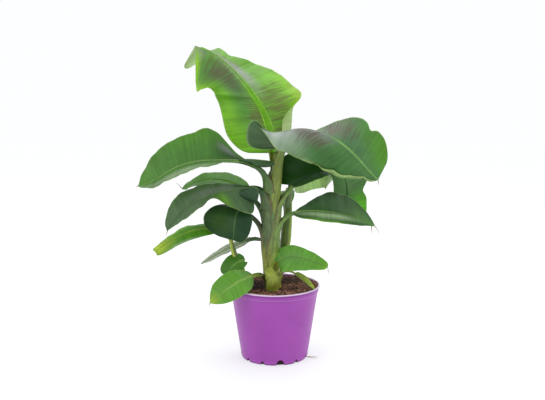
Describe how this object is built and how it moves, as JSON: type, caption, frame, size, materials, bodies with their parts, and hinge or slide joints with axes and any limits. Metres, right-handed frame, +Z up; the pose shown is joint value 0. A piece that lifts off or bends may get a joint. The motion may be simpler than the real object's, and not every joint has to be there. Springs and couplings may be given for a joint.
{
  "type": "potted banana plant",
  "caption": "Young banana plant with broad arching leaves on a stem of wrapped sheaths, growing with side shoots from soil in a tapered nursery pot",
  "frame": {"origin": "centre of the flat underside of the pot", "axes": "+Z up; +X to the right and +Y away as seen from the front, where the long left leaf points to -X"},
  "size_m": [0.4829, 0.3191, 0.6334],
  "materials": {
    "pot": "smooth moulded pot, purple",
    "soil": "crumbly dark brown potting soil",
    "stem": "smooth wrapped sheaths, yellow green to grey green with brown edges",
    "shoot": "smooth light green shoots",
    "stalk": "smooth ribbed green stalks",
    "leaf": "satin veined leaf blades, green with pale undersides"
  },
  "bodies": {
    "root": {"pot": "pot", "soil": "soil", "main_stem": "stem", "left_shoot": "shoot", "rear_shoot": "shoot", "top_leaf_stalk": "stalk", "top_leaf": "leaf", "right_leaf_stalk": "stalk", "right_leaf": "leaf", "left_leaf_stalk": "stalk", "left_leaf": "leaf", "left_back_leaf_stalk": "stalk", "left_back_leaf": "leaf", "left_middle_leaf_stalk": "stalk", "left_middle_leaf": "leaf", "left_low_leaf_stalk": "stalk", "left_low_leaf": "leaf", "front_leaf_stalk": "stalk", "front_leaf": "leaf", "back_left_leaf_stalk": "stalk", "back_left_leaf": "leaf", "left_rim_leaf_stalk": "stalk", "left_rim_leaf": "leaf", "small_left_leaf_stalk": "stalk", "small_left_leaf": "leaf", "right_low_leaf_stalk": "stalk", "right_low_leaf": "leaf", "right_middle_leaf_stalk": "stalk", "right_middle_leaf": "leaf", "right_back_leaf_stalk": "stalk", "right_back_leaf": "leaf", "shaded_leaf_stalk": "stalk", "shaded_leaf": "leaf", "soil_leaf_stalk": "stalk", "soil_leaf": "leaf", "back_leaf_stalk": "stalk", "back_leaf": "leaf"}
  },
  "joints": []
}
